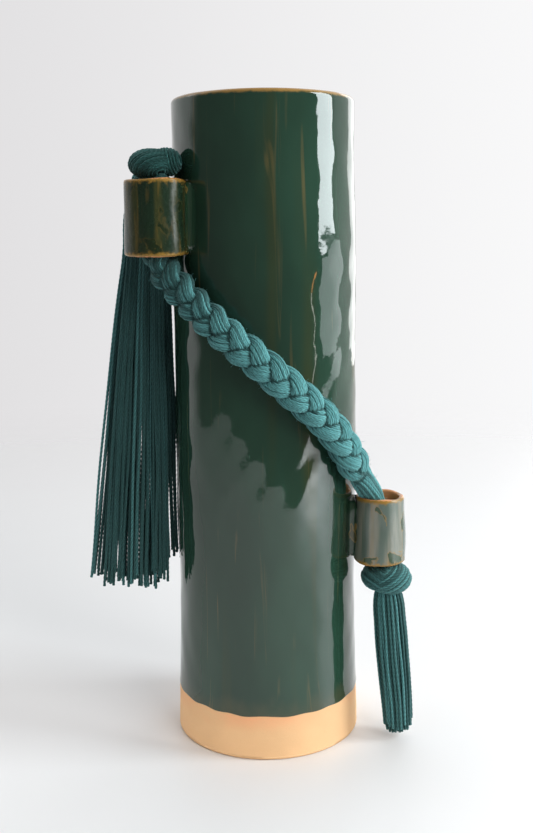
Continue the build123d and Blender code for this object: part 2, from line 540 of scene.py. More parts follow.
@dataclass(frozen=True)
class LoopGlaze:
    """Thinner glaze on the clay loops, amber and orange at their edges.

    Args:
        name: The material's name.
        deep: Colour of the glaze in thick places.
        olive: Colour of the glaze over most of the loop.
        blotch: Colour of the blotches.
        gloss: Roughness of the glaze.
        edging: How strongly the blotches are edged in amber.
        mirror: How strongly it mirrors the room, where 0.5 is usual for glaze.
        amber: Colour where it thins.
        bare: Colour of the clay at the very edge.
    """

    name: str
    deep: Colour = (0.014, 0.030, 0.014)
    olive: Colour = (0.060, 0.062, 0.016)
    blotch: Colour = (0.20, 0.12, 0.02)
    gloss: float = 0.13
    edging: float = 0.55
    mirror: float = 0.5
    amber: Colour = (0.27, 0.15, 0.028)
    bare: Colour = (0.62, 0.27, 0.11)

    def material(self) -> bpy.types.Material:
        """Builds the material; the mesh's edge attribute is 1 at its cut edges.

        Returns:
            The material.
        """
        finish = Finish(self.name)
        runs = finish.noise(180, 3, (1, 1, 0.08), 0.3)
        shade = finish.mix(finish.fade(runs, 0.38, 0.66), self.deep, self.olive)
        threads = finish.fade(finish.noise(320, 3, (1, 1, 0.06), 1.2), 0.54, 0.72)
        shade = finish.mix(finish.sum("MULTIPLY", threads, 0.32), shade, self.amber)
        island = finish.noise(115, 3, (1, 1, 0.7), 0.6)
        edging = finish.sum("MULTIPLY", finish.fade(island, 0.585, 0.605), self.edging)
        shade = finish.mix(edging, shade, self.amber)
        shade = finish.mix(finish.fade(island, 0.605, 0.625), shade, self.blotch)
        dapple = finish.sum("MULTIPLY_ADD", finish.noise(650, 4), 0.9, finish.value("edge"))
        shade = finish.mix(finish.fade(dapple, 0.64, 1.02), shade, self.amber)
        shade = finish.mix(finish.fade(dapple, 1.20, 1.42), shade, self.bare)
        finish.set(Base_Color=shade, IOR=1.6, Specular_IOR_Level=self.mirror)
        finish.set(Roughness=finish.sum("MULTIPLY_ADD", finish.noise(300, 3), self.gloss, 0.6 * self.gloss))
        swell = finish.bump(finish.noise(150, 2, (1, 1, 0.6)), 0.35 * MM)
        finish.set(Normal=finish.bump(finish.noise(800, 2), 0.03 * MM, swell))
        return finish.material


@dataclass(frozen=True)
class BareClay:
    """Unglazed buff stoneware, flushed peach near the glaze.

    Args:
        name: The material's name.
        buff: Colour of the fired clay.
        flush: Colour next to the glaze.
        line: Height of the glaze line.
    """

    name: str = "buff_stoneware"
    buff: Colour = (0.79, 0.490, 0.255)
    flush: Colour = (0.80, 0.400, 0.205)
    line: float = 22 * MM

    def material(self) -> bpy.types.Material:
        """Builds the material.

        Returns:
            The material.
        """
        finish = Finish(self.name)
        height = finish.sum("MULTIPLY_ADD", finish.noise(60, 3), 6 * MM, finish.axis("Z"))
        shade = finish.mix(finish.fade(height, self.line - 7 * MM, self.line + 2 * MM), self.buff, self.flush)
        cloud = finish.fade(finish.noise(40, 4), 0.35, 0.7)
        shade = finish.mix(cloud, shade, tuple(0.93 * c for c in self.buff))
        grains = finish.spots(900, 0.05, 0.22)
        shade = finish.mix(finish.sum("MULTIPLY", grains, 0.25), shade, (0.50, 0.30, 0.16))
        finish.set(Base_Color=shade, IOR=1.45)
        finish.set(Roughness=finish.sum("MULTIPLY_ADD", finish.noise(500, 4), 0.2, 0.62))
        rings = finish.bump(finish.noise(900, 2, (0.05, 0.05, 1)), 0.05 * MM)
        finish.set(Normal=finish.bump(finish.noise(2600, 4), 0.07 * MM, rings))
        return finish.material


@dataclass(frozen=True)
class CottonYarn:
    """Plied teal cotton: matt, a little fuzzy, with painted shade between its plies.

    Args:
        name: The material's name.
        dark: Colour of the darkest yarns.
        light: Colour of the lightest yarns.
    """

    name: str = "teal_cotton"
    dark: Colour = (0.028, 0.082, 0.080)
    light: Colour = (0.150, 0.440, 0.450)

    def material(self) -> bpy.types.Material:
        """Builds the material; each yarn has a shade, and a groove of 1 between its plies.

        Returns:
            The material.
        """
        finish = Finish(self.name)
        lint = finish.noise(1400, 4)
        blend = finish.sum("MULTIPLY_ADD", lint, 0.5, finish.value("shade"))
        shade = finish.mix(finish.fade(blend, 0.2, 1.25), self.dark, self.light)
        # Painted shade: the colour darkens towards 0.4 of the dark teal where groove is 1, between the plies
        # and on the hidden cores.
        hollow = finish.sum("MULTIPLY", finish.value("groove"), 0.8)
        finish.set(Base_Color=finish.mix(hollow, shade, tuple(0.4 * c for c in self.dark)))
        finish.set(Roughness=finish.sum("MULTIPLY_ADD", lint, 0.15, 0.78))
        finish.set(Sheen_Weight=0.35, Sheen_Roughness=0.5, Sheen_Tint=(0.45, 0.85, 0.85), IOR=1.4)
        finish.set(Specular_IOR_Level=0.25)
        fibres = finish.bump(finish.noise(5200, 3), 0.10 * MM)
        finish.set(Normal=fibres)
        return finish.material


# --------------------------------------------------------------------------- studio


@dataclass(frozen=True)
class Camera:
    """The camera: its place, how far it looks down and leans, and its lens.

    Args:
        place: Where it stands.
        down: Degrees below the horizon that it looks.
        lean: Degrees that it leans over its line of sight.
        lens: Focal length in millimetres, on a 36 mm long side.
    """

    place: Point = (0.00048, -0.5057, 0.2456)
    down: float = 10.02
    lean: float = -0.54
    lens: float = 45.65

    def build(self) -> None:
        """Makes the scene's camera."""
        data = bpy.data.cameras.new("camera")
        data.sensor_width = 36.0
        data.lens = self.lens
        data.clip_start = 0.01
        camera = bpy.data.objects.new("camera", data)
        look = Matrix.Rotation(math.radians(90 - self.down), 4, "X")
        lean = Matrix.Rotation(math.radians(self.lean), 4, "Z")
        camera.matrix_world = Matrix.Translation(self.place) @ look @ lean
        bpy.context.scene.collection.objects.link(camera)
        bpy.context.scene.camera = camera


@dataclass(frozen=True)
class Lamp:
    """A soft rectangular light that faces the vase.

    Args:
        name: The light's name.
        place: Where its middle is.
        width: Its level side.
        height: Its other side.
        brightness: Its radiance.
        colour: Its tint.
        mirrored: It shows in the glaze.
        aim: Where it points.
        beam: Full angle of its beam, in degrees.
    """

    name: str
    place: Point
    width: float
    height: float
    brightness: float
    colour: Colour = (1.0, 1.0, 1.0)
    mirrored: bool = True
    aim: Point = (0.0, 0.0, 0.15)
    beam: float = 180.0

    def build(self) -> None:
        """Makes the light."""
        data = bpy.data.lights.new(self.name, "AREA")
        data.shape = "RECTANGLE"
        data.size = self.width
        data.size_y = self.height
        data.energy = self.brightness * math.pi * self.width * self.height
        data.color = self.colour
        data.spread = math.radians(self.beam)
        light = bpy.data.objects.new(self.name, data)
        light.location = self.place
        towards = Vector(self.aim) - Vector(self.place)
        light.rotation_euler = towards.to_track_quat("-Z", "Y").to_euler()
        light.visible_camera = False
        light.visible_glossy = self.mirrored
        bpy.context.scene.collection.objects.link(light)


@dataclass(frozen=True)
class Studio:
    """A pale sweep lit by a tall window on the right, in a dim room.

    Args:
        backdrop_left: Colour of the sweep at the left of the view.
        backdrop_right: Colour of the sweep at the right of the view.
        room: Radiance of the dim room in front of the vase.
        sweep: Radiance of the bright backdrop as the glaze sees it.
        floor_colour: Colour of the sweep where the vase stands.
        floor_edge: How far the floor reaches, and the angle from the front towards the right.
        lamps: The lights.
    """

    backdrop_left: Colour = (0.74, 0.73, 0.74)
    backdrop_right: Colour = (0.965, 0.965, 0.97)
    room: float = 0.13
    sweep: float = 0.9
    floor_colour: Colour = (0.76, 0.755, 0.76)
    floor_edge: tuple[tuple[float, float], ...] = (
        (1.00, -180.0), (1.10, -110.0), (1.07, -52.0), (0.69, -17.0), (0.50, 22.0), (0.47, 38.0),
        (0.62, 48.0), (0.90, 57.0), (1.00, 75.0), (1.10, 100.0), (1.00, 180.0))
    lamps: tuple[Lamp, ...] = (
        Lamp("window", (1.30, -0.22, 0.82), 0.58, 1.10, 11.0, (0.90, 0.97, 1.0), True, (0.0, -0.2, 0.7)),
        Lamp("sill", (1.28, -0.02, 0.14), 0.80, 0.22, 2.4, (0.90, 0.98, 1.0), True, (0.0, 0.0, 0.14)),
        Lamp("pale_wall", (0.72, 1.05, 0.53), 0.62, 1.0, 2.2, (1.0, 1.0, 1.0), True, (0.0, 0.0, 0.4)),
        Lamp("skylight", (0.85, -1.08, 1.00), 0.9, 0.8, 6.5, (1.0, 0.99, 0.97), False, (0.0, 0.0, 0.12)),
        Lamp("ceiling", (-0.60, 0.00, 1.60), 1.2, 1.2, 0.8, (1.0, 1.0, 1.0), False),
        Lamp("bounce", (-0.34, -0.42, 0.03), 0.30, 0.06, 0.9, (1.0, 0.97, 0.93), False, (0.0, 0.0, 0.0),
             36.0),
        Lamp("sun_patch", (0.47, -0.30, 0.30), 0.20, 0.20, 12.0, (0.90, 0.97, 1.0), False, (0.47, -0.30, 0.0),
             80.0),
        Lamp("left_pane", (-0.95, 0.42, 0.95), 0.16, 0.30, 2.2, (0.80, 0.90, 1.0), True),
        Lamp("curtain_edge", (1.14, -0.63, 0.07), 0.02, 0.10, 5.5, (1.0, 0.97, 0.90), True),
        Lamp("wooden_post", (1.14, -0.63, 0.148), 0.03, 0.05, 8.0, (1.0, 0.36, 0.08), True),
    )

    def build(self) -> None:
        """Makes the floor, the room and the lights."""
        scene = bpy.context.scene
        scene.view_settings.view_transform = "Standard"
        self.build_room()
        self.build_floor()
        for lamp in self.lamps:
            lamp.build()
        LOG.info("studio: %d lights", len(self.lamps))

    def build_room(self) -> None:
        """Colours the surroundings: pale to look at, and a dim room in front for the glaze."""
        world = bpy.data.worlds.new("room")
        bpy.context.scene.world = world
        world.use_nodes = True
        tree = world.node_tree
        tree.nodes.clear()
        direction = tree.nodes.new("ShaderNodeTexCoord").outputs["Generated"]
        split = tree.nodes.new("ShaderNodeSeparateXYZ")
        tree.links.new(direction, split.inputs[0])
        ramps = []
        room = (self.room,) * 3
        sweep = (self.sweep,) * 3
        for axis, low, high, first, second in (("X", 0.30, 0.70, self.backdrop_left, self.backdrop_right),
                                               ("Y", 0.46, 0.62, room, sweep)):
            shift = tree.nodes.new("ShaderNodeMath")
            shift.operation = "MULTIPLY_ADD"
            shift.inputs[1].default_value = 0.5
            shift.inputs[2].default_value = 0.5
            tree.links.new(split.outputs[axis], shift.inputs[0])
            ramp = tree.nodes.new("ShaderNodeValToRGB")
            ramp.color_ramp.interpolation = "EASE"
            for element, position, colour in zip(ramp.color_ramp.elements, (low, high), (first, second)):
                element.position = position
                element.color = (*colour, 1.0)
            tree.links.new(shift.outputs[0], ramp.inputs["Fac"])
            ramps.append(ramp.outputs["Color"])
        seen = tree.nodes.new("ShaderNodeLightPath").outputs["Is Camera Ray"]
        mix = tree.nodes.new("ShaderNodeMix")
        mix.data_type = "RGBA"
        tree.links.new(seen, mix.inputs[0])
        tree.links.new(ramps[1], mix.inputs[6])
        tree.links.new(ramps[0], mix.inputs[7])
        background = tree.nodes.new("ShaderNodeBackground")
        output = tree.nodes.new("ShaderNodeOutputWorld")
        tree.links.new(mix.outputs[2], background.inputs["Color"])
        tree.links.new(background.outputs[0], output.inputs["Surface"])

    def build_floor(self) -> None:
        """Makes the floor, which fades into the surroundings at its edges."""
        angle = np.linspace(-180, 180, 180, endpoint=False)
        edge = smooth_curve(self.floor_edge, angle)
        turn = np.radians(angle - 90)
        solid = 0.92 - 0.62 * ease(np.abs(angle), 85, 125)
        steps = spread(0, 1, 12)
        radius = np.concatenate([np.full_like(edge, 1 * MM)[None, :], edge * (solid + (1 - solid) * steps)])
        fade = np.concatenate([[[1.0]], 1 - ease(steps, 0, 1)])
        mesh = PieceMesh()
        mesh.add_grid(turned(radius, np.zeros((1, 1)), turn[None, :])[::-1], fade=fade[::-1])
        floor = mesh.build("floor")
        finish = Finish("pale_paper")
        finish.set(Base_Color=self.floor_colour, Roughness=0.42, Alpha=finish.value("fade"))
        floor.data.materials.append(finish.material)


# --------------------------------------------------------------------------- cord


@dataclass(frozen=True)
class Route:
    """A cord's line as a smooth spline with chosen control points.

    Args:
        points: The control points.
        fineness: Points of the line for each control point.
    """

    points: tuple[Point, ...]
    fineness: int = 24

    def line(self) -> np.ndarray:
        """Points of the spline, read from Blender's own curve.

        Returns:
            Points of shape (n, 3).
        """
        data = bpy.data.curves.new("route", "CURVE")
        data.dimensions = "3D"
        spline = data.splines.new("NURBS")
        spline.points.add(len(self.points) - 1)
        for control, point in zip(spline.points, self.points):
            control.co = (*point, 1.0)
        spline.order_u = 3
        spline.use_endpoint_u = True
        spline.resolution_u = self.fineness
        route = bpy.data.objects.new("route", data)
        mesh = bpy.data.meshes.new_from_object(route)
        line = np.array([vertex.co for vertex in mesh.vertices])
        bpy.data.meshes.remove(mesh)
        bpy.data.objects.remove(route)
        bpy.data.curves.remove(data)
        return line


@dataclass(frozen=True)
class Yarn:
    """A plied cotton yarn.

    Args:
        radius: Half its thickness.
        plies: How many plies are twisted together.
        relief: Height of the plies, as a share of the radius.
        turn: Length in which the plies make one turn.
        sides: Points round its section.
    """

    radius: float = 0.86 * MM
    plies: int = 3
    relief: float = 0.13
    turn: float = 9.0 * MM
    sides: int = 9

    def spin(self, mesh: PieceMesh, path: np.ndarray, beside: np.ndarray, shade: np.ndarray | float,
             closed: bool = False, thickness: np.ndarray | float = 1.0) -> None:
        """Adds one yarn to a mesh.

        Args:
            mesh: The mesh that it joins.
            path: Its middle line, of shape (n, 3).
            beside: A direction that is never along the line, one for all points or one for each.
            shade: How light the yarn is, from 0 to 1, one for the whole yarn or one row for each point.
            closed: Its end meets its start.
            thickness: Its thickness as a share of the usual, one for all points or one for each.
        """
        tangent = unit(np.gradient(path, axis=0))
        if closed:
            tangent = unit(np.roll(path, -1, axis=0) - np.roll(path, 1, axis=0))
        first = unit(beside - np.sum(beside * tangent, axis=1, keepdims=True) * tangent)
        second = np.cross(tangent, first)
        angle = np.arange(self.sides) * TURN / self.sides
        twist = distances(path)[:, None] * TURN / self.turn
        ply = np.cos(self.plies * (angle[None, :] - twist))
        radius = self.radius * (1 + self.relief * ply) * np.broadcast_to(thickness, len(path))[:, None]
        spokes = (np.cos(angle)[None, :, None] * first[:, None, :]
                  + np.sin(angle)[None, :, None] * second[:, None, :])
        mesh.add_grid(path[:, None, :] + radius[..., None] * spokes, closed=closed, capped=not closed,
                      shade=shade, groove=0.5 - 0.5 * ply)


def wander(draw: np.random.Generator, along: np.ndarray, amount: float, wave: float) -> np.ndarray:
    """A slow random drift along a yarn.

    Args:
        draw: Source of the random draws.
        along: Distances along the yarn.
        amount: How far it drifts.
        wave: Typical length of one drift to and fro.

    Returns:
        The drift at each distance.
    """
    total = np.zeros_like(along)
    for _ in range(3):
        total += np.sin(along * TURN / (wave * draw.uniform(0.6, 1.7)) + draw.uniform(0, TURN))
    return amount * total / 3


def packed(count: int, start: float = 0.0) -> np.ndarray:
    """Places of yarns packed evenly in a circle of radius one.

    Args:
        count: How many yarns.
        start: Angle of the first.

    Returns:
        The places, of shape (count, 2).
    """
    number = np.arange(count)
    radius = np.sqrt((number + 0.5) / count)
    angle = start + number * TURN * GOLDEN_SHARE
    return np.stack([radius * np.cos(angle), radius * np.sin(angle)], axis=1)


@dataclass(frozen=True)
class StrandLine:
    """How one strand of the plait runs, row by row.

    Args:
        middle: Points of its middle line.
        side: Level directions across it.
        out: Directions out of the plait's face.
        wide: Half its width, to the middle of its outer yarns.
        thick: Half its thickness, to the same.
        risen: 1 where it lies on top of the plait and -1 where it is deepest.
    """

    middle: np.ndarray
    side: np.ndarray
    out: np.ndarray
    wide: np.ndarray
    thick: np.ndarray
    risen: np.ndarray

    def around(self, turn: np.ndarray | float, swell: np.ndarray | float = 1.0) -> np.ndarray:
        """A line along the strand's surface, at an angle round it.

        Args:
            turn: The angle, one for all rows or one for each.
            swell: Distance from the middle as a share of the usual.

        Returns:
            A point for each row.
        """
        across = self.wide * swell * np.cos(turn)
        rise = self.thick * swell * np.sin(turn)
        return self.middle + self.side * across[:, None] + self.out * rise[:, None]

    def clearance(self, points: np.ndarray) -> np.ndarray:
        """How far points are from the strand's middle.

        Args:
            points: Points of shape (n, 3).

        Returns:
            The distance of each, where 1 is on the strand's surface.
        """
        squares = np.sum((points[:, None, :] - self.middle[None, :, :]) ** 2, axis=2)
        nearest = np.argmin(squares, axis=1)
        offset = points - self.middle[nearest]
        across = np.sum(offset * self.side[nearest], axis=1) / self.wide[nearest]
        rise = np.sum(offset * self.out[nearest], axis=1) / self.thick[nearest]
        return np.hypot(across, rise)


@dataclass(frozen=True)
class Plait:
    """The three-strand plait, from the upper knot to the lower one.

    Args:
        route: Control points of its middle line.
        length: Real length of that line; not used.
        width: Width of the flat plait; not used.
        period: Length in which a strand swings from side to side and back.
        swing: How far a strand's middle swings to each side.
        lift: How far it rises and dips between the other two.
        half_width: Half the strand's own width.
        half_thickness: Half its thickness.
        yarns: Yarns round a strand's surface.
        bundle: Distance of a strand from the middle line where the strands lie side by side.
        bundled: Half the strand's thickness there.
        loose: Length at the lower end where they do.
        samples: Points along the plait.
        fibres: Stray fibres on a strand.
        core_sides: Points round the core of a strand.
        shades: Darkest and lightest shade of a yarn: the yarns' own tone, set above the other cord pieces' as
            painted light.
        crease_shade: Painted shade: how much darker a yarn gets beside another strand.
        top_shade: Painted shade: how much darker the yarns are at its top than from its middle down, for the
            weaker light there.
        seed: Start of the random draws.
        yarn: The yarn it is plaited from.
        fibre: One stray fibre.
    """

    route: tuple[Point, ...] = (
        (-0.0479, -0.0276, 0.2680), (-0.0481, -0.0275, 0.2510), (-0.0479, -0.0277, 0.2320),
        (-0.0380, -0.0344, 0.2200), (-0.0212, -0.0464, 0.2042), (-0.0039, -0.0510, 0.1904),
        (0.0140, -0.0491, 0.1745), (0.0295, -0.0413, 0.1589), (0.0392, -0.0316, 0.1418),
        (0.0446, -0.0242, 0.1310), (0.0512, -0.0198, 0.1205), (0.0535, -0.0180, 0.1060),
        (0.0539, -0.0178, 0.0890))
    length: float = 0.2306
    width: float = 15.0 * MM
    period: float = 31.3 * MM
    swing: float = 3.3 * MM
    lift: float = 2.9 * MM
    half_width: float = 4.5 * MM
    half_thickness: float = 3.6 * MM
    bundle: float = 2.1 * MM
    bundled: float = 3.9 * MM
    yarns: int = 28
    loose: float = 58.0 * MM
    samples: int = 390
    fibres: int = 650
    core_sides: int = 12
    shades: tuple[float, float] = (0.30, 1.25)
    crease_shade: float = 1.1
    top_shade: float = 0.9
    seed: int = 310
    yarn: Yarn = Yarn(radius=0.58 * MM, relief=0.15, turn=6.0 * MM, sides=7)
    fibre: Yarn = Yarn(radius=0.06 * MM, relief=0.0, sides=3)

    def build(self, material: bpy.types.Material) -> list[bpy.types.Object]:
        """Makes the three strands.

        Args:
            material: Finish of the yarns.

        Returns:
            The strands; the first stands for the whole plait.
        """
        lines = self.strand_lines()
        strands = []
        for number in range(len(lines)):
            replaced = ("plait",) if number == 0 else ()
            strand = self.strand(number, lines).build(f"plait_strand_{number + 1}")
            strands.append(place(strand, material, Slot.YARN, *replaced))
        for strand in strands:
            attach(strand, Body.VASE.value)
        return strands

    def strand_lines(self) -> list[StrandLine]:
        """Works out how the three strands run, plaited and then side by side.

        Returns:
            A line for each strand.
        """
        line = evenly(Route(self.route).line(), self.samples)
        along = distances(line)
        tangent = unit(np.gradient(line, axis=0))
        outward = unit(line * np.array([1.0, 1.0, 0.0]))
        outward = unit(outward - np.sum(outward * tangent, axis=1, keepdims=True) * tangent)
        sideways = np.cross(tangent, outward)
        end = along[-1] - self.loose
        settled = ease(along, end, end + 0.5 * self.period)
        last = end / self.period + 0.35
        turns = np.where(along < end, along / self.period, np.minimum(along / self.period, last))
        lines = []
        for number in range(3):
            phase = TURN * (turns + number / 3)
            rest = TURN * (last + number / 3)
            across = self.swing * (np.sin(phase) - 0.07 * np.sin(3 * phase))
            rise = -self.lift * np.sin(2 * phase)
            risen = rise / self.lift
            across = across * (1 - settled) + self.bundle * math.sin(rest) * settled
            rise = rise * (1 - settled) + self.bundle * math.cos(rest) * settled
            middle = line + sideways * across[:, None] + outward * rise[:, None]
            course = unit(np.gradient(middle, axis=0))
            out = unit(outward - np.sum(outward * course, axis=1, keepdims=True) * course)
            wide = self.half_width * (1 - settled) + self.bundled * settled - self.yarn.radius
            thick = self.half_thickness * (1 - settled) + self.bundled * settled - self.yarn.radius
            lines.append(StrandLine(middle, np.cross(course, out), out, wide, thick, risen))
        return lines

    def strand(self, number: int, lines: list[StrandLine]) -> PieceMesh:
        """One strand's yarns round a plain core, with stray fibres.

        Args:
            number: Which strand.
            lines: How all three strands run.

        Returns:
            The strand's mesh.
        """
        draw = np.random.default_rng(self.seed + number)
        mesh = PieceMesh()
        line = lines[number]
        others = lines[:number] + lines[number + 1:]
        along = distances(line.middle)
        core = np.stack([line.around(TURN * side / self.core_sides) for side in range(self.core_sides)],
                        axis=1)
        # Painted shade: the core is coloured the darkest, for the hidden inner yarns.
        mesh.add_grid(core[:, ::-1], capped=True, shade=0.0, groove=1.0)
        for count in range(self.yarns):
            turn = TURN * count / self.yarns + wander(draw, along, 0.12, 60 * MM)
            path = line.around(turn, 1 + wander(draw, along, 0.07, 30 * MM))
            # Painted shade: a yarn is darkened where it lies against another strand.
            crease = sum(1 - ease(other.clearance(path), 1.06, 1.42) for other in others)
            # Painted light and shade: lighter where the strand lies on top, darker where it dips under the
            # others; the random draw is the yarn's own tone.
            shade = draw.uniform(*self.shades) + 0.25 * line.risen - self.crease_shade * crease
            # Painted shade: the yarns darken towards the plait's top, for the weaker light there.
            shade = shade - self.top_shade * (1 - ease(along, 0.15 * along[-1], 0.5 * along[-1]))
            self.yarn.spin(mesh, path, line.side, shade[:, None])
        for _ in range(self.fibres):
            row = draw.integers(5, self.samples - 5)
            root = core[row, draw.integers(self.core_sides)]
            away = unit(root - line.middle[row])
            aslant = 1.3 * draw.uniform(-1, 1) * unit(line.middle[row + 1] - line.middle[row])
            curl = 0.5 * draw.normal(size=3)
            reach = draw.uniform(0.9, 1.9) * MM * np.linspace(0, 1, 5)[:, None]
            path = root + reach * (away + aslant + curl * reach / reach[-1])
            self.fibre.spin(mesh, path, unit(np.cross(away, curl)), 0.8)
        return mesh


@dataclass(frozen=True)
class Winding:
    """Yarn wound round a knot's bulb, in rings that lean across it.

    Args:
        centre: Middle of the bulb.
        radii: Half its size along X, Y and Z.
        axis: Direction that the rings go round.
        start: Where the rings begin along that axis, from 0 at one pole to 1 at the other.
        end: Where they end.
        turns: Number of rings.
    """

    centre: Point
    radii: Point
    axis: Point
    start: float
    end: float
    turns: int

    def add(self, mesh: PieceMesh, yarn: Yarn, draw: np.random.Generator,
            shades: tuple[float, float]) -> None:
        """Adds the wound yarn to a mesh, ring by ring.

        Args:
            mesh: The mesh that it joins.
            yarn: The yarn.
            draw: Source of the random draws.
            shades: Darkest and lightest shade of a ring.
        """
        axis = unit(np.array(self.axis))
        first = unit(np.cross(axis, [0.0, 0.0, 1.0]))
        second = np.cross(axis, first)
        size = np.array(self.radii) - yarn.radius
        for turn in range(self.turns):
            share = self.start + (self.end - self.start) * (turn + 0.5) / self.turns
            polar = math.pi * share
            angle = np.linspace(0, TURN, 96, endpoint=False)
            sway = 0.03 * np.sin(angle + draw.uniform(0, TURN)) + 0.015 * np.sin(
                2 * angle + draw.uniform(0, TURN))
            lean = polar + sway
            ball = (axis[None, :] * np.cos(lean)[:, None]
                    + (first[None, :] * np.cos(angle)[:, None] + second[None, :] * np.sin(angle)[:, None])
                    * np.sin(lean)[:, None])
            bulge = 1 + draw.uniform(-0.02, 0.03)
            path = np.array(self.centre) + ball * size * bulge
            yarn.spin(mesh, path, axis, draw.uniform(*shades), closed=True)


@dataclass(frozen=True)
class Knot:
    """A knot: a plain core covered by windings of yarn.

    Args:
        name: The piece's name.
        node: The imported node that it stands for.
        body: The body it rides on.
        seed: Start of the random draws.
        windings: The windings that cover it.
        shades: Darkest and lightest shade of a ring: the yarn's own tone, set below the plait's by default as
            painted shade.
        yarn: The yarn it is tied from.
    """

    name: str
    node: str
    body: Body
    seed: int
    windings: tuple[Winding, ...]
    shades: tuple[float, float] = (-0.25, 0.55)
    yarn: Yarn = Yarn(radius=0.60 * MM, relief=0.13, turn=6.5 * MM, sides=8)

    def build(self, material: bpy.types.Material) -> bpy.types.Object:
        """Makes the knot in the given finish.

        Args:
            material: Finish of the yarns.

        Returns:
            The knot.
        """
        draw = np.random.default_rng(self.seed)
        mesh = PieceMesh()
        for winding in self.windings:
            self.add_core(mesh, winding)
            winding.add(mesh, self.yarn, draw, self.shades)
        knot = place(mesh.build(self.name), material, Slot.YARN, self.node)
        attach(knot, self.body.value)
        return knot

    def add_core(self, mesh: PieceMesh, winding: Winding) -> None:
        """Fills a winding's inside, so that no light shows between its yarns.

        Args:
            mesh: The mesh that it joins.
            winding: The winding.
        """
        size = np.array(winding.radii) - 1.6 * self.yarn.radius
        angle = np.linspace(0, TURN, 32, endpoint=False)
        polar = spread(-0.47 * math.pi, 0.47 * math.pi, 17)
        ball = turned(np.cos(polar), np.sin(polar), angle[None, :])
        # Painted shade: the core is coloured the darkest, for the hidden inner yarns.
        mesh.add_grid(np.array(winding.centre) + ball * size, capped=True, shade=0.0, groove=1.0)


@dataclass(frozen=True)
class Lock:
    """One hanging lock of the fringe.

    Args:
        number: Its number, from the left.
        route: Control points of the stretch that hangs.
        length: Real length from the knot's heart to its tips; not used.
    """

    number: int
    route: tuple[Point, ...]
    length: float


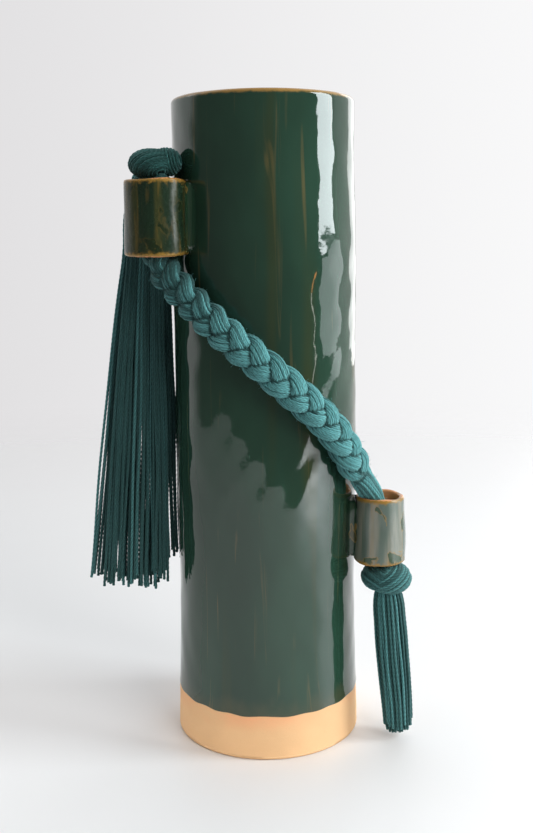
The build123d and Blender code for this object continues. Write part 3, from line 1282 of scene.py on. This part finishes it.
@dataclass(frozen=True)
class Fringe:
    """Seven locks of yarn that leave the upper knot, fold over and hang behind the loop.

    Args:
        heart: Where the yarns leave the knot.
        yarns: Yarns in a lock.
        thickness: Declared thickness of a lock; not used.
        row_behind: Y of the locks nearest to the loop.
        rows_apart: Distance from them to the other row of locks.
        tied: Half the width and half the depth of a lock at the knot, without its outer yarn.
        opened: How much each grows as the lock hangs.
        tips: Share of a lock's line that its shortest yarns reach.
        samples: Points along a yarn.
        seed: Start of the random draws, before a lock's number is added.
        yarn: The yarn it is made of.
        locks: The seven locks.
    """

    heart: Point = (-0.0500, -0.0240, 0.2735)
    yarns: int = 15
    thickness: float = 8.0 * MM
    row_behind: float = -10.2 * MM
    rows_apart: float = 5.3 * MM
    tied: tuple[float, float] = (2.7 * MM, 1.5 * MM)
    opened: tuple[float, float] = (1.9 * MM, 0.6 * MM)
    tips: float = 0.98
    samples: int = 300
    seed: int = 540
    yarn: Yarn = Yarn(radius=0.64 * MM, turn=7.0 * MM, sides=7)
    locks: tuple[Lock, ...] = (
        Lock(1, ((-0.0626, -0.0049, 0.250), (-0.0626, -0.0049, 0.236), (-0.0667, -0.0046, 0.213),
                 (-0.0716, -0.0042, 0.175), (-0.0770, -0.0034, 0.124), (-0.0830, -0.0029, 0.076)), 0.220),
        Lock(2, ((-0.0601, -0.0102, 0.250), (-0.0601, -0.0102, 0.236), (-0.0630, -0.0106, 0.213),
                 (-0.0670, -0.0102, 0.175), (-0.0714, -0.0094, 0.124), (-0.0759, -0.0089, 0.074)), 0.215),
        Lock(3, ((-0.0575, -0.0049, 0.250), (-0.0575, -0.0049, 0.236), (-0.0602, -0.0045, 0.213),
                 (-0.0628, -0.0041, 0.175), (-0.0667, -0.0030, 0.124), (-0.0695, -0.0024, 0.072)), 0.220),
        Lock(4, ((-0.0550, -0.0102, 0.250), (-0.0550, -0.0102, 0.236), (-0.0568, -0.0107, 0.213),
                 (-0.0586, -0.0104, 0.175), (-0.0612, -0.0096, 0.124), (-0.0638, -0.0093, 0.073)), 0.214),
        Lock(5, ((-0.0524, -0.0049, 0.250), (-0.0524, -0.0049, 0.236), (-0.0538, -0.0044, 0.213),
                 (-0.0548, -0.0039, 0.175), (-0.0570, -0.0032, 0.124), (-0.0580, -0.0029, 0.071)), 0.220),
        Lock(6, ((-0.0499, -0.0102, 0.250), (-0.0499, -0.0102, 0.236), (-0.0503, -0.0109, 0.213),
                 (-0.0511, -0.0107, 0.175), (-0.0514, -0.0102, 0.124), (-0.0526, -0.0100, 0.077)), 0.210),
        Lock(7, ((-0.0473, -0.0049, 0.250), (-0.0473, -0.0049, 0.236), (-0.0477, -0.0043, 0.213),
                 (-0.0473, -0.0039, 0.175), (-0.0476, -0.0030, 0.124), (-0.0472, -0.0023, 0.086)), 0.206),
    )

    def build(self, material: bpy.types.Material) -> list[bpy.types.Object]:
        """Makes the locks in the given finish.

        Args:
            material: Finish of the yarns.

        Returns:
            The locks.
        """
        pieces = []
        for lock in self.locks:
            line = Route(self.over_the_fold(lock) + lock.route).line()
            piece = self.lock(lock, line).build(f"fringe_yarns_{lock.number}")
            nodes = [f"fringe_lock_{lock.number}"] + (["fringe_neck"] if lock.number == 4 else [])
            place(piece, material, Slot.YARN, *nodes)
            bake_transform(piece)
            pieces.append(piece)
        return pieces

    def over_the_fold(self, lock: Lock) -> tuple[Point, ...]:
        """Control points from the knot's heart over the fold, down to where the lock hangs.

        Args:
            lock: Which lock.

        Returns:
            The control points, in order.
        """
        x, y, _ = lock.route[0]
        knot_x, knot_y, knot_z = self.heart
        outer = (y - self.row_behind) / self.rows_apart
        lower = 0.28 * (knot_x - x)
        return ((knot_x + 0.25 * (x + 0.055), knot_y, knot_z - 0.001 + 0.001 * outer),
                (0.70 * knot_x + 0.30 * x, -0.0170, 0.2722 + 0.0012 * outer - 0.3 * lower),
                (0.50 * knot_x + 0.50 * x, y - 0.0040, 0.2735 + 0.0008 * outer - lower),
                (0.42 * knot_x + 0.58 * x, y - 0.0002, 0.2725 + 0.0012 * outer - lower),
                (0.20 * knot_x + 0.80 * x, y, 0.2620))

    def lock(self, lock: Lock, line: np.ndarray) -> PieceMesh:
        """One lock's yarns.

        Args:
            lock: Which lock.
            line: Its middle line, from the knot to the tips.

        Returns:
            The lock's mesh.
        """
        draw = np.random.default_rng(self.seed + lock.number)
        mesh = PieceMesh()
        beside = np.array([1.0, 0.0, 0.0])
        cuts = np.append(draw.uniform(self.tips - 0.015, 0.998, self.yarns - 1), 1.0)
        for (across, deep), cut in zip(packed(self.yarns, draw.uniform(0, TURN)), cuts):
            path = evenly(line, self.samples, cut)
            along = distances(path)
            hung = ease(along, 40 * MM, 190 * MM)
            tangent = unit(np.gradient(path, axis=0))
            side = unit(beside - np.sum(beside * tangent, axis=1, keepdims=True) * tangent)
            depth = np.cross(tangent, side)
            wide, thick = (tied + opened * hung for tied, opened in zip(self.tied, self.opened))
            drift = across * wide + wander(draw, along, 0.7 * MM, 110 * MM) * hung
            level = deep * thick + wander(draw, along, 0.5 * MM, 90 * MM) * hung
            path = path + side * drift[:, None] + depth * level[:, None]
            frayed = 1 + 0.10 * ease(along, along[-1] - 3 * MM, along[-1])
            # Painted shade: the fringe's shades are drawn low, for the vase's shadow over it; the spread is
            # the yarns' own tone.
            self.yarn.spin(mesh, path, beside, draw.uniform(-0.6, 0.5), thickness=frayed)
        return mesh


@dataclass(frozen=True)
class Tassel:
    """The short tassel under the lower knot.

    Args:
        route: Control points of its middle line, from the knot's heart to the tips.
        yarns: How many yarns hang in it.
        radii: Radius of the bundle and the share of its length at which it has it.
        samples: Points along a yarn.
        straying: How far a yarn strays from its place.
        seed: Start of the random draws.
        yarn: The yarn it is made of.
    """

    route: tuple[Point, ...] = (
        (0.0574, -0.0185, 0.0820), (0.0583, -0.0190, 0.0680), (0.0600, -0.0198, 0.0490),
        (0.0616, -0.0206, 0.0300), (0.0629, -0.0213, 0.0140), (0.0636, -0.0216, 0.0022))
    yarns: int = 92
    radii: tuple[tuple[float, float], ...] = (
        (3.4 * MM, 0.0), (7.3 * MM, 0.13), (8.2 * MM, 0.30), (8.2 * MM, 0.6), (7.6 * MM, 1.0))
    samples: int = 110
    straying: float = 0.35 * MM
    seed: int = 77
    yarn: Yarn = Yarn(radius=0.62 * MM, turn=7.0 * MM, sides=7)

    def build(self, material: bpy.types.Material) -> bpy.types.Object:
        """Makes the tassel in the given finish.

        Args:
            material: Finish of the yarns.

        Returns:
            The tassel.
        """
        draw = np.random.default_rng(self.seed)
        mesh = PieceMesh()
        line = Route(self.route).line()
        beside = np.array([1.0, 0.0, 0.0])
        for across, deep in packed(self.yarns):
            edge = math.hypot(across, deep)
            share = 1 - 0.05 * edge**3 - draw.uniform(0, 0.035)
            path = evenly(line, self.samples, share)
            along = distances(path)
            radius = smooth_curve(self.radii, along / (along[-1] / share)) - self.yarn.radius
            tangent = unit(np.gradient(path, axis=0))
            side = unit(beside - np.sum(beside * tangent, axis=1, keepdims=True) * tangent)
            depth = np.cross(tangent, side)
            loose = ease(along, 12 * MM, 40 * MM)
            drift = across * radius + wander(draw, along, self.straying, 50 * MM) * loose
            level = deep * radius + wander(draw, along, self.straying, 50 * MM) * loose
            path = path + side * drift[:, None] + depth * level[:, None]
            # Painted shade: the tassel's shades are drawn below the plait's, for its dimmer light; the spread
            # is the yarns' own tone.
            self.yarn.spin(mesh, path, beside, draw.uniform(-0.3, 0.55))
        tassel = place(mesh.build("tassel_yarns"), material, Slot.YARN, "short_tassel")
        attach(tassel, Body.TASSEL.value)
        return tassel


@dataclass(frozen=True)
class CordSet:
    """The whole cord.

    Args:
        plait: The plait across the front.
        top_knot: The knot on the upper loop.
        bottom_knot: The knot under the lower loop.
        fringe: The long fringe of the upper knot.
        tassel: The short tassel of the lower knot.
    """

    plait: Plait = Plait()
    top_knot: Knot = Knot(
        "top_knot_wraps", "top_knot", Body.UPPER_KNOT, 91,
        (Winding((-0.0496, -0.0262, 0.2747), (0.0101, 0.0096, 0.0068), (-0.5, 0.62, 0.6), 0.05, 0.95, 27),
         Winding((-0.0430, -0.0244, 0.2755), (0.0072, 0.0080, 0.0066), (1.0, -0.15, 0.2), 0.10, 0.90, 12)),
        shades=(0.1, 0.9))
    bottom_knot: Knot = Knot(
        "bottom_knot_wraps", "bottom_knot", Body.LOWER_KNOT, 92,
        (Winding((0.0558, -0.0185, 0.0812), (0.0106, 0.0110, 0.0072), (0.62, 0.0, 0.78), 0.05, 0.95, 28),
         Winding((0.0588, -0.0189, 0.0806), (0.0106, 0.0116, 0.0077), (-0.66, -0.1, 0.74), 0.10, 0.95, 28)))
    fringe: Fringe = Fringe()
    tassel: Tassel = Tassel()

    def build(self, material: bpy.types.Material, shaded: bpy.types.Material) -> None:
        """Args:
            material: Finish of the yarns.
            shaded: Finish of the upper knot: the same cotton in darker colours, painted shade for the weaker
                light on the knot.
        """
        strands = self.plait.build(material)
        knots = [self.top_knot.build(shaded), self.bottom_knot.build(material)]
        tassel = self.tassel.build(material)
        self.fringe.build(material)
        line = Route(self.plait.route).line()


# --------------------------------------------------------------------------- clay


@dataclass(frozen=True)
class Vase:
    """The clay body with its glazes.

    Args:
        side: Radius and height of the clay up the side.
        glaze: Thickness of the fired glaze.
        foot_radius: Widest part of the bare foot.
        foot_bevel: Rounding of its lower edge.
        foot_top: Radius of the bare clay at the glaze line.
        bore: Inside radius of the clay.
        base: Thickness of the base.
        line: Height of the glaze line.
        rim_round: Radius of the clay's rounded rim.
        columns: Points round the outer glaze.
        bow: Long gentle bends of the wall.
        waves: Short ripples of the wall.
    """

    side: tuple[tuple[float, float], ...] = (
        (0.0439, 0.022), (0.0428, 0.060), (0.0432, 0.155), (0.0428, 0.190), (0.0430, 0.232),
        (0.0417, 0.290), (0.0418, 0.3026))
    glaze: float = 0.5 * MM
    foot_radius: float = 45.0 * MM
    foot_bevel: float = 1.4 * MM
    foot_top: float = 44.4 * MM
    bore: float = 38.0 * MM
    base: float = 7.0 * MM
    line: float = 22.0 * MM
    rim_round: float = 1.9 * MM
    columns: int = 288
    bow: Ripple = Ripple(7, 0.16 * MM, (2, 4), (0.12, 0.5), 8)
    waves: Ripple = Ripple(11, 0.055 * MM, (6, 18), (0.018, 0.06), 30)

    def wall(self, angle: np.ndarray, height: np.ndarray) -> np.ndarray:
        """Unevenness of the wall, which fades out at the foot and the rim."""
        held = ease(height, self.line, self.line + 20 * MM) * ease(height, 0.303, 0.292)
        return (self.bow.at(angle, height) + self.waves.at(angle, height)) * (0.25 + 0.75 * held)

    def glaze_line(self, angle: np.ndarray) -> np.ndarray:
        """Height of the wavy lower edge of the glaze, lowest just right of the front.

        Args:
            angle: Angles round the vase.

        Returns:
            The height at each.
        """
        low = math.radians(-72)
        scallops = Ripple(5, 0.15 * MM, (7, 23), (1.0, 2.0), 9).at(angle, np.zeros_like(angle))
        return self.line - 0.7 * MM * np.cos(angle - low) + scallops

    def angles(self, columns: int | None = None) -> np.ndarray:
        """Angles round the vase, one for each column of a grid."""
        return np.linspace(0, TURN, columns or self.columns, endpoint=False)[None, :]

    def build(self, clay: bpy.types.Material, green: bpy.types.Material, liner: bpy.types.Material) -> None:
        """Makes the wall, the base, the glaze outside and the glaze inside.

        Args:
            clay: Finish of the bare clay.
            green: Finish of the outside.
            liner: Finish of the inside.
        """
        pieces = (
            place(self.clay_wall().build("clay_wall"), clay, Slot.CLAY, "vase_wall"),
            place(self.foot_disc().build("foot_disc"), clay, Slot.CLAY, "base_slab"),
            place(self.outer_skin().build("outer_glaze_skin"), green, Slot.GREEN, "outer_glaze"),
            place(self.inner_skin().build("liner_glaze_skin"), liner, Slot.LINER, "liner_glaze"),
        )
        for piece in pieces:
            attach(piece, Body.VASE.value)

    def rim_row(self, offset: float, start: float, end: float, count: int) -> tuple[np.ndarray, np.ndarray]:
        """Radii and heights over the rounded rim, between two angles in degrees.

        Args:
            offset: Distance outside the clay's rim.
            start: First angle, from outwards through up.
            end: Last angle.
            count: Number of rows.

        Returns:
            The radii and the heights, one for each row.
        """
        turn = np.radians(spread(start, end, count))
        radius = self.rim_round + offset
        return (self.bore + self.rim_round + radius * np.cos(turn),
                self.side[-1][1] + radius * np.sin(turn))

    def clay_wall(self) -> PieceMesh:
        """The clay tube with its bare foot.

        Returns:
            Its mesh.
        """
        angle = self.angles(216)
        bevel = np.radians(spread(-90, 0, 5))
        bare = spread(self.foot_bevel, self.line - 0.5 * MM, 30)
        dents = Ripple(3, 0.05 * MM, (5, 24), (0.006, 0.03), 18)
        side = spread(self.line + 2.2 * MM, self.side[-1][1], 60)
        rim_radius, rim_height = self.rim_row(0, 10, 180, 12)
        inside = spread(self.side[-1][1], 0, 8)
        foot = self.foot_radius + (self.foot_top - self.foot_radius) * bare / self.line
        rows = [
            (self.foot_radius - self.foot_bevel * (1 - np.cos(bevel)), self.foot_bevel * (1 + np.sin(bevel))),
            (foot + dents.at(angle, bare), bare),
            (smooth_curve(self.side, side) + self.wall(angle, side), side),
            (rim_radius, rim_height),
            (np.full_like(inside, self.bore), inside),
        ]
        return self.lathe(rows, angle, closed=True)

    def foot_disc(self) -> PieceMesh:
        """The base, trimmed a little hollow underneath.

        Returns:
            Its mesh.
        """
        angle = self.angles(144)
        under = spread(1.0 * MM, self.bore, 30)
        hollow = 0.5 * MM * (1 - (under / self.bore) ** 4)
        marks = 0.04 * MM * np.sin(under * TURN / (2.6 * MM))
        dents = Ripple(9, 0.05 * MM, (2, 9), (0.01, 0.03), 12)
        top = spread(self.bore, 1.0 * MM, 6)
        rows = [(under, hollow + marks + dents.at(angle, under) * (under < 0.98 * self.bore)),
                (top, np.full_like(top, self.base))]
        return self.lathe(rows, angle, closed=False)

    def outer_skin(self) -> PieceMesh:
        """The glaze outside, from its rounded lower edge over the crest of the rim.

        Returns:
            Its mesh.
        """
        angle = self.angles()
        low = self.glaze_line(angle)
        bead = 0.5 * MM
        turn = np.radians(spread(-90, -10, 5))
        share = spread(0, 1, 235) ** 1.15
        height = low + bead + (self.side[-1][1] - low - bead) * share
        lip = 0.28 * MM * np.exp(-(height - low) / (2.2 * MM))
        skin = smooth_curve(self.side, height) + self.glaze + lip + self.wall(angle, height)
        edge = skin[:1] - bead
        rim_radius, rim_height = self.rim_row(self.glaze, 8, 90, 9)
        under_radius, under_height = self.rim_row(0, 90, 0, 4)
        inner = spread(self.side[-1][1], self.line + 3 * MM, 16)
        rows = [
            (edge + bead * np.cos(turn), low + bead + bead * np.sin(turn)),
            (skin, height),
            (rim_radius, rim_height + 0.12 * MM * np.sin(3 * angle) * ease(rim_height, 0.3035, 0.305)),
            (under_radius, under_height),
            (smooth_curve(self.side, inner) + self.wall(angle, inner), inner),
            (edge - 0.4 * MM, low + 1.5 * bead),
        ]
        return self.lathe(rows, angle, closed=True)

    def inner_skin(self) -> PieceMesh:
        """The glaze inside, down the bore and over the base.

        Returns:
            Its mesh.
        """
        angle = self.angles(192)
        rim_radius, rim_height = self.rim_row(self.glaze, 90, 172, 9)
        down = spread(self.side[-1][1] - 1 * MM, self.base + 4 * MM, 90)
        corner = np.radians(spread(180, 270, 7)[1:])
        tight = 3.5 * MM
        over = spread(self.bore - tight, 1 * MM, 16)
        dips = Ripple(13, 0.12 * MM, (3, 12), (0.03, 0.09), 20)
        back = spread(1 * MM, self.bore, 6)
        up = spread(self.base, self.side[-1][1], 8)[1:]
        crest_radius, crest_height = self.rim_row(0, 180, 90, 6)
        inside = self.bore - self.glaze
        held = ease(down, 0.301, 0.29)
        rows = [
            (rim_radius, rim_height),
            (inside - np.abs(dips.at(angle, down)) * held, down),
            (inside - tight - tight * np.cos(corner),
             self.base + self.glaze + tight + tight * np.sin(corner)),
            (over, np.full_like(over, self.base + self.glaze)),
            (back, np.full_like(back, self.base)),
            (np.full_like(up, self.bore), up),
            (crest_radius, crest_height),
        ]
        return self.lathe(rows, angle, closed=True)

    def lathe(self, rows: list[tuple[np.ndarray, np.ndarray]], angle: np.ndarray, closed: bool) -> PieceMesh:
        """A turned surface.

        Args:
            rows: Radii and heights, stretch by stretch, each of shape (rows, 1) or (rows, columns).
            angle: Angles of the columns.
            closed: The last row meets the first; otherwise both are closed at the axis.

        Returns:
            Its mesh.
        """
        mesh = PieceMesh()
        grid = np.concatenate([turned(radius, height, angle) for radius, height in rows])
        mesh.add_grid(grid, closed=closed, capped=not closed)
        return mesh


@dataclass(frozen=True)
class ClayLoop:
    """A short clay tube on the side of the vase, and the clay that joins it on.

    Args:
        name: Which loop.
        azimuth: Where it stands round the vase, in degrees from +X.
        reach: Distance of its middle from the vase's axis.
        radius: Its outside radius.
        wall: Its thickness.
        bottom: Height of its lower edge.
        top: Height of its upper edge.
        seed: Start of the random draws.
        flare: How much wider it is at its lower edge.
        weld: Radius of the hollow corner between it and the vase.
        edge_round: Radius of its rounded cut edges.
        columns: Points round it.
    """

    name: str
    azimuth: float
    reach: float
    radius: float
    wall: float
    bottom: float
    top: float
    seed: int
    flare: float = 0.4 * MM
    weld: float = 3.0 * MM
    edge_round: float = 1.2 * MM
    columns: int = 128

    def centre(self) -> np.ndarray:
        """The loop's axis in plan."""
        turn = math.radians(self.azimuth)
        return np.array([self.reach * math.cos(turn), self.reach * math.sin(turn), 0.0])

    def build(self, material: bpy.types.Material, joining: bpy.types.Material, vase: Vase) -> None:
        """Makes the loop and the clay that joins it to the vase.

        Args:
            material: Finish of the loop.
            joining: Finish of the joining clay.
            vase: The vase it stands on.
        """
        pieces = (
            place(self.tube().build(f"{self.name}_tube"), material, Slot.LOOP, self.name),
            place(self.welds(vase).build(f"{self.name}_weld"), joining, Slot.LOOP, f"{self.name}_join"),
        )
        for piece in pieces:
            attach(piece, Body.VASE.value)

    def tube(self) -> PieceMesh:
        """The tube, with soft uneven edges.

        Returns:
            Its mesh.
        """
        angle = np.linspace(0, TURN, self.columns, endpoint=False)[None, :]
        round_ = self.edge_round
        bent = Ripple(self.seed, 0.16 * MM, (2, 5), (0.02, 0.06), 8)
        cut = Ripple(self.seed + 1, 0.16 * MM, (1, 5), (1.0, 2.0), 6)
        low = self.bottom + round_ + cut.at(angle, np.zeros((1, 1)))
        high = self.top - round_ + cut.at(angle, np.full((1, 1), 0.5))
        share = spread(0, 1, 56)
        height = low + (high - low) * share
        outside = self.radius + bent.at(angle, height) + self.flare * (1 - 2 * share)
        inner = self.radius - self.wall + 0.4 * bent.at(angle, height)
        turn = np.radians(spread(0, 180, 13)[1:-1])
        rows = [(outside, height)]
        for end, sign in ((-1, 1), (0, -1)):
            middle = (outside[end] + inner[end]) / 2
            half = (outside[end] - inner[end]) / 2
            sweep = turn if sign > 0 else turn + math.pi
            level = (high if sign > 0 else low) + round_ * np.sin(sweep)
            rows.append((middle + half * np.sign(np.cos(sweep)) * np.abs(np.cos(sweep)) ** 0.7, level))
            if sign > 0:
                rows.append((inner[::-1][::3], height[::-1][::3]))
        radius = np.concatenate([np.broadcast_to(r, (len(r), self.columns)) for r, _ in rows])
        level = np.concatenate([np.broadcast_to(h, (len(h), self.columns)) for _, h in rows])
        gap = np.minimum(self.top - level, level - self.bottom)
        bore = radius < self.radius - 0.8 * self.wall
        edge = np.where(bore, 1.1, 0.95 * np.exp(-np.maximum(gap, 0) / (1.5 * MM)))
        mesh = PieceMesh()
        mesh.add_grid(turned(radius, level, angle) + self.centre(), closed=True, edge=edge)
        return mesh

    def welds(self, vase: Vase) -> PieceMesh:
        """The hollow corners on both sides, each tangent to the loop and to the vase.

        Args:
            vase: The vase it stands on.

        Returns:
            Their mesh.
        """
        mesh = PieceMesh()
        out = self.centre() / self.reach
        along = np.array([-out[1], out[0], 0.0])
        share = np.linspace(-1, 1, 41)
        height = (self.bottom + self.top) / 2 + share * (self.top - self.bottom - 1.6 * MM) / 2
        size = self.weld * (1 - 0.96 * np.abs(share) ** 9) + 0.02 * MM
        for hand in (-1, 1):
            rings = []
            for level, hollow in zip(height, size):
                wall = float(smooth_curve(vase.side, np.array([level]))[0]) + vase.glaze
                far = wall + hollow
                near = self.radius + hollow
                spot = (far**2 + self.reach**2 - near**2) / (2 * self.reach)
                aside = math.sqrt(max(far**2 - spot**2, 0))
                middle = out * spot + along * hand * aside
                to_wall = unit(-middle)
                to_loop = unit(out * self.reach - middle)
                start = math.atan2(to_wall @ along, to_wall @ out)
                sweep = math.atan2(to_loop @ along, to_loop @ out) - start
                sweep = (sweep + math.pi) % TURN - math.pi
                turn = start + sweep * np.linspace(0, 1, 12)
                arc = middle + hollow * (np.cos(turn)[:, None] * out + np.sin(turn)[:, None] * along)
                buried = out * (spot - 0.2 * MM) + along * hand * (aside - hollow - 1.4 * MM)
                ring = np.concatenate([arc, buried[None, :]])
                ring[:, 2] = level
                rings.append(ring if hand > 0 else ring[::-1])
            mesh.add_grid(np.array(rings), capped=True, edge=0.0)
        return mesh


def main() -> None:
    """Builds the scene, from the camera and the cord to the clay."""
    logging.basicConfig(level=logging.INFO, format="%(message)s")
    Camera().build()
    # The upper knot's copy of the cotton is darker: painted shade, for the weaker light on the knot.
    shaded_knot_yarn = CottonYarn("painted_shade_teal_cotton", dark=(0.012, 0.045, 0.040), light=(0.035, 0.135, 0.125))
    CordSet().build(CottonYarn().material(), shaded_knot_yarn.material())
    vase = Vase()
    vase.build(BareClay().material(), GreenGlaze().material(), GreenGlaze("liner_green_glaze").material())
    loops = (
        ClayLoop("upper_loop", -150.0, 55.3 * MM, 14.0 * MM, 3.6 * MM, 234.5 * MM, 268.0 * MM, 21),
        ClayLoop("lower_loop", -18.0, 56.9 * MM, 12.0 * MM, 3.0 * MM, 89.0 * MM, 121.0 * MM, 31),
    )
    glazes = (
        LoopGlaze("dark_loop_glaze", deep=(0.010, 0.024, 0.012), olive=(0.040, 0.044, 0.014),
                  blotch=(0.012, 0.022, 0.008), gloss=0.25, edging=0.12, mirror=0.28),
        # The lower loop's pale grey-green is partly the glaze's colour and partly painted reflection of the
        # bright floor; its spots and amber edges are the glaze's own.
        LoopGlaze("pale_loop_glaze", deep=(0.075, 0.105, 0.085), olive=(0.18, 0.18, 0.14),
                  blotch=(0.022, 0.050, 0.020), gloss=0.2),
    )
    joining = LoopGlaze("pooled_green_glaze", deep=(0.011, 0.032, 0.018), olive=(0.016, 0.042, 0.020),
                        blotch=(0.05, 0.05, 0.018), gloss=0.06).material()
    for loop, glaze in zip(loops, glazes):
        loop.build(glaze.material(), joining, vase)
    Studio().build()


if __name__ == "__main__":
    main()
